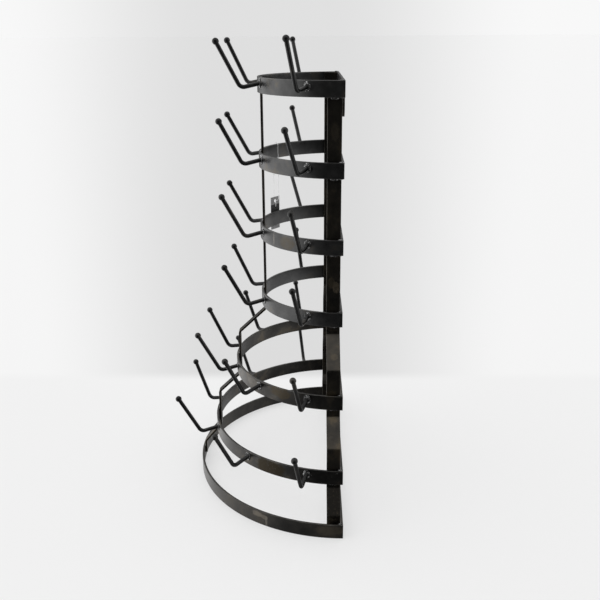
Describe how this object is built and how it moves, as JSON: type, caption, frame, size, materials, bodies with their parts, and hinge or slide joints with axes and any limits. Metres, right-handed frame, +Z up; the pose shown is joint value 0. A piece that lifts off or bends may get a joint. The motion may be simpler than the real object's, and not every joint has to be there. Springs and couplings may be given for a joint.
{
  "type": "mug tree",
  "caption": "Half-round tiered steel mug tree: D-shaped hoops on splayed flat-bar uprights, with bent ball-tipped pegs around each upper hoop.",
  "frame": {"origin": "on the floor, in the middle of the base hoop's straight back bar", "axes": "+Z up, +X along the flat back to the right as seen from the back wall, -Y towards the rounded front"},
  "size_m": [0.4712, 0.2356, 0.6226],
  "materials": {
    "hoop_finish": "blackened flat bar, satin, greyer where it faces the front",
    "base_hoop_finish": "blackened flat bar, satin, worn to brown-grey in places",
    "upright_finish": "blackened flat bar with mottled olive-brown heat patches",
    "peg_finish": "blackened round rod, satin",
    "tag_card": "blank grey card with a plain black band, matte",
    "nylon": "translucent nylon filament"
  },
  "bodies": {
    "stand": {"hoop_1_band": "hoop_finish", "hoop_1_back": "hoop_finish", "peg_1_1": "peg_finish", "peg_1_2": "peg_finish", "peg_1_3": "peg_finish", "peg_1_4": "peg_finish", "hoop_2_band": "hoop_finish", "hoop_2_back": "hoop_finish", "peg_2_1": "peg_finish", "peg_2_2": "peg_finish", "peg_2_3": "peg_finish", "peg_2_4": "peg_finish", "hoop_3_band": "hoop_finish", "hoop_3_back": "hoop_finish", "peg_3_1": "peg_finish", "peg_3_2": "peg_finish", "peg_3_3": "peg_finish", "peg_3_4": "peg_finish", "hoop_4_band": "hoop_finish", "hoop_4_back": "hoop_finish", "peg_4_1": "peg_finish", "peg_4_2": "peg_finish", "peg_4_3": "peg_finish", "peg_4_4": "peg_finish", "hoop_5_band": "hoop_finish", "hoop_5_back": "hoop_finish", "peg_5_1": "peg_finish", "peg_5_2": "peg_finish", "peg_5_3": "peg_finish", "peg_5_4": "peg_finish", "peg_5_5": "peg_finish", "peg_5_6": "peg_finish", "hoop_6_band": "hoop_finish", "hoop_6_back": "hoop_finish", "peg_6_1": "peg_finish", "peg_6_2": "peg_finish", "peg_6_3": "peg_finish", "peg_6_4": "peg_finish", "peg_6_5": "peg_finish", "peg_6_6": "peg_finish", "hoop_7_band": "base_hoop_finish", "hoop_7_back": "base_hoop_finish", "upright_right": "upright_finish", "upright_left": "upright_finish", "front_strip": "upright_finish", "hanger_tab_right": "upright_finish", "hanger_tab_left": "upright_finish", "tag_loop": "nylon"},
    "tag": {"hang_tag": "tag_card"}
  },
  "joints": [
    {"name": "tag_swing", "type": "hinge", "parent": "stand", "child": "tag", "pos_m": [-0.06596, -0.0927, 0.39], "axis": [-0.8192, 0.5736, 0], "range_deg": [-4, 45]}
  ]
}
